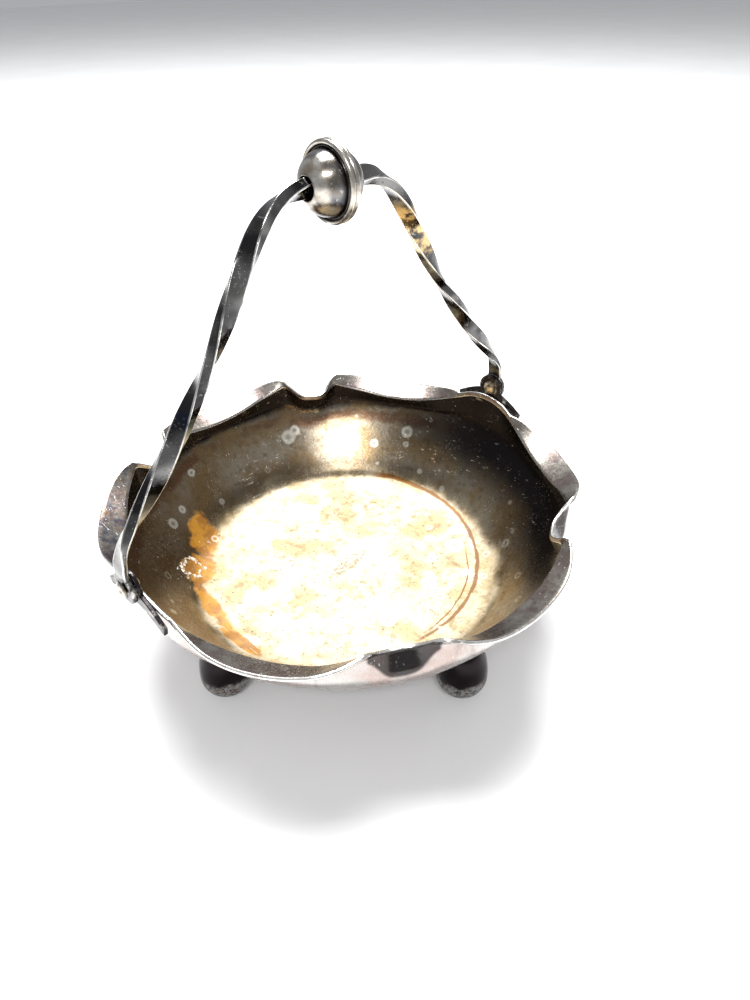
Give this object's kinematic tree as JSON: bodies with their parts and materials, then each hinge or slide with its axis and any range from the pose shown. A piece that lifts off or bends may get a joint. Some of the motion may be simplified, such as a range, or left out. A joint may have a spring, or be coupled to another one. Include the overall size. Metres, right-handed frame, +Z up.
{
  "type": "swing-handled sugar bowl",
  "caption": "Round metal sugar bowl with a lobed, pinched rim, ball feet and a twisted swing handle that carries a domed bead at its top.",
  "frame": {"origin": "middle of the bowl at table height", "axes": "+Z up; the handle's two pivots lie along X; the handle stands straight up at rest and swings toward +Y and -Y"},
  "size_m": [0.1406, 0.1384, 0.1397],
  "materials": {
    "bowl_plate": "silver plate, dull, stained and spotted inside",
    "foot_metal": "silver plate, dark and pitted",
    "lug_metal": "silver plate, nearly black with tarnish",
    "rivet_brass": "plate worn through to yellow metal",
    "handle_plate": "silver plate, polished by hands, dark in the twists"
  },
  "bodies": {
    "body": {"bowl": "bowl_plate", "foot_1": "foot_metal", "foot_2": "foot_metal", "foot_3": "foot_metal", "foot_4": "foot_metal", "lug_right": "lug_metal", "lug_left": "lug_metal", "rivet_right": "rivet_brass", "rivet_left": "rivet_brass"},
    "handle": {"handle_bar": "handle_plate", "bead_half_right": "handle_plate", "bead_half_left": "handle_plate"}
  },
  "joints": [
    {"name": "handle_swing", "type": "hinge", "parent": "body", "child": "handle", "pos_m": [0, 0, 0.0551], "axis": [1, 0, 0], "range_deg": [-90, 90]}
  ]
}
